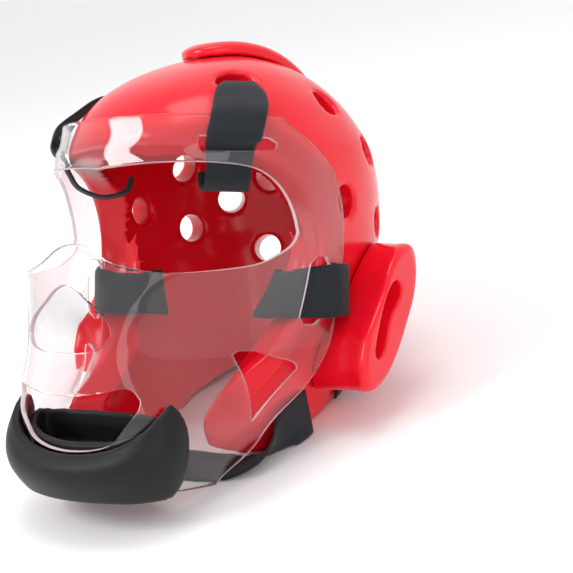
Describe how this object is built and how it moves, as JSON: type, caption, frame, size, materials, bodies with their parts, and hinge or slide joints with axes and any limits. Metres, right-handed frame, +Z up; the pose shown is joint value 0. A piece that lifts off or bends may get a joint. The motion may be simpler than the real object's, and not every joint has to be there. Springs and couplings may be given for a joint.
{
  "type": "martial arts headgear",
  "caption": "Open-bottomed hood of thick dipped foam with vents, ear pads, a padded crown and chin, and a clear face shield held by soft straps.",
  "frame": {"origin": "middle of the bounding box, on the floor that the shell's lower rim rests on", "axes": "+Z up, -Y the way the face looks, +X the wearer's left"},
  "size_m": [0.286, 0.3818, 0.2822],
  "materials": {
    "red_foam": "glossy dipped skin over foam",
    "clear_shield": "clear polished sheet, standing in for clear plastic",
    "black_foam": "satin dipped skin over foam",
    "strap_web": "matt napped webbing"
  },
  "bodies": {
    "root": {"shell": "red_foam", "crown_pad": "red_foam", "ear_pad_left": "red_foam", "ear_pad_right": "red_foam", "face_shield": "clear_shield", "chin_pad": "black_foam", "chin_cup": "black_foam", "forehead_strap_left": "strap_web", "forehead_strap_right": "strap_web", "cheek_strap_left": "strap_web", "cheek_strap_right": "strap_web", "chin_strap": "strap_web", "nape_strap": "strap_web"}
  },
  "joints": []
}
